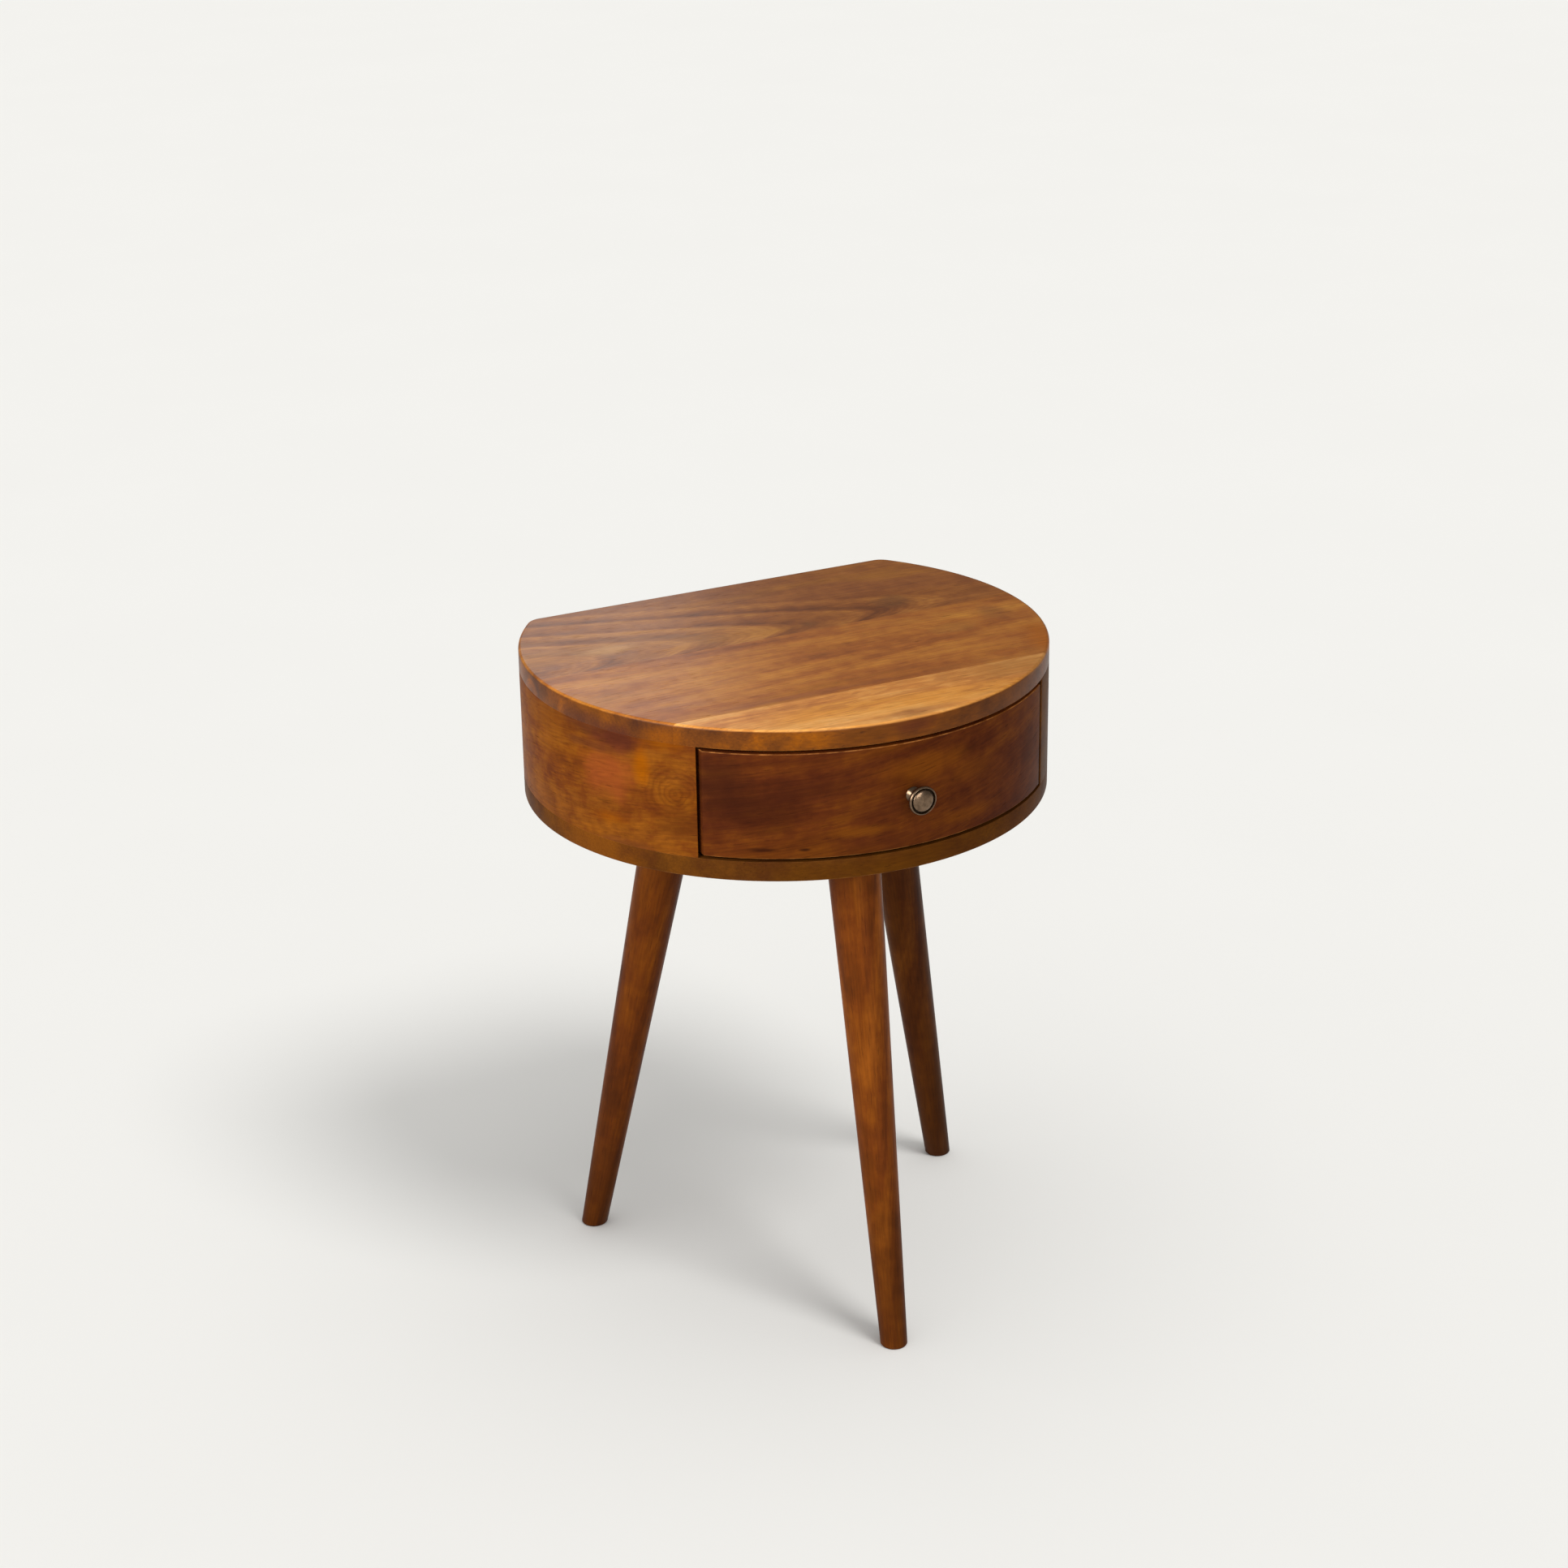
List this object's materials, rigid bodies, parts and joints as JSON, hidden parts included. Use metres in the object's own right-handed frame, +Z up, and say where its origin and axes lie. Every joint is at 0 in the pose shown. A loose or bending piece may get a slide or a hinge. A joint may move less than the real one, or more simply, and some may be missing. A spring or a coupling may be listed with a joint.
{
  "type": "side table with drawer",
  "caption": "Half-round wooden side table with a flat back, a curved drawer front with a round metal knob, and splayed tapered turned legs.",
  "frame": {"origin": "on the floor, under the middle of the bounding box, which includes the knob", "axes": "+Z is up, the drawer opens towards -Y, +X is to the right as seen from the front, and the flat back faces +Y"},
  "size_m": [0.45, 0.3898, 0.566],
  "materials": {
    "body_wood": "chestnut-stained hardwood, satin lacquer",
    "drawer_front_wood": "darker chestnut-stained hardwood, satin lacquer",
    "leg_wood": "turned, chestnut-stained hardwood, satin lacquer",
    "plain_inner_wood": "planed, unfinished hardwood",
    "drawer_box_wood": "planed hardwood, thin clear coat",
    "plywood": "sanded plywood",
    "dowel_beech": "plain beech",
    "knob_brass": "antique, brown-grey, soft polish on the edges",
    "insert_brass": "turned, plain",
    "plated_steel": "zinc plated"
  },
  "bodies": {
    "carcass": {"top_panel": "body_wood", "bottom_panel": "body_wood", "left_side": "body_wood", "right_side": "body_wood", "back_panel": "body_wood", "front_leg": "leg_wood", "back_left_leg": "leg_wood", "back_right_leg": "leg_wood", "front_leg_bolt": "plated_steel", "front_leg_insert": "insert_brass", "back_left_leg_bolt": "plated_steel", "back_left_leg_insert": "insert_brass", "back_right_leg_bolt": "plated_steel", "back_right_leg_insert": "insert_brass", "left_drawer_guide": "plain_inner_wood", "left_kicker": "plain_inner_wood", "left_rear_stop": "plain_inner_wood", "right_drawer_guide": "plain_inner_wood", "right_kicker": "plain_inner_wood", "right_rear_stop": "plain_inner_wood", "stop_rail": "plain_inner_wood", "left_guide_screw_1": "plated_steel", "left_guide_screw_2": "plated_steel", "left_kicker_screw_1": "plated_steel", "left_kicker_screw_2": "plated_steel", "right_guide_screw_1": "plated_steel", "right_guide_screw_2": "plated_steel", "right_kicker_screw_1": "plated_steel", "right_kicker_screw_2": "plated_steel", "stop_rail_screw_1": "plated_steel", "stop_rail_screw_2": "plated_steel", "left_side_top_dowel_1": "dowel_beech", "left_side_top_dowel_2": "dowel_beech", "left_side_bottom_dowel_1": "dowel_beech", "left_side_bottom_dowel_2": "dowel_beech", "right_side_top_dowel_1": "dowel_beech", "right_side_top_dowel_2": "dowel_beech", "right_side_bottom_dowel_1": "dowel_beech", "right_side_bottom_dowel_2": "dowel_beech", "back_panel_top_dowel_1": "dowel_beech", "back_panel_top_dowel_2": "dowel_beech", "back_panel_bottom_dowel_1": "dowel_beech", "back_panel_bottom_dowel_2": "dowel_beech"},
    "drawer": {"drawer_front": "drawer_front_wood", "drawer_left_side": "drawer_box_wood", "drawer_right_side": "drawer_box_wood", "drawer_back": "drawer_box_wood", "drawer_bottom": "plywood", "knob": "knob_brass", "knob_screw": "plated_steel", "knob_washer": "plated_steel", "drawer_left_dowel_1": "dowel_beech", "drawer_left_dowel_2": "dowel_beech", "drawer_right_dowel_1": "dowel_beech", "drawer_right_dowel_2": "dowel_beech", "drawer_left_screw_1": "plated_steel", "drawer_left_screw_2": "plated_steel", "drawer_right_screw_1": "plated_steel", "drawer_right_screw_2": "plated_steel"}
  },
  "joints": [
    {"name": "drawer_slide", "type": "slide", "parent": "carcass", "child": "drawer", "axis": [0, -1, 0], "range_m": [0, 0.2]}
  ]
}
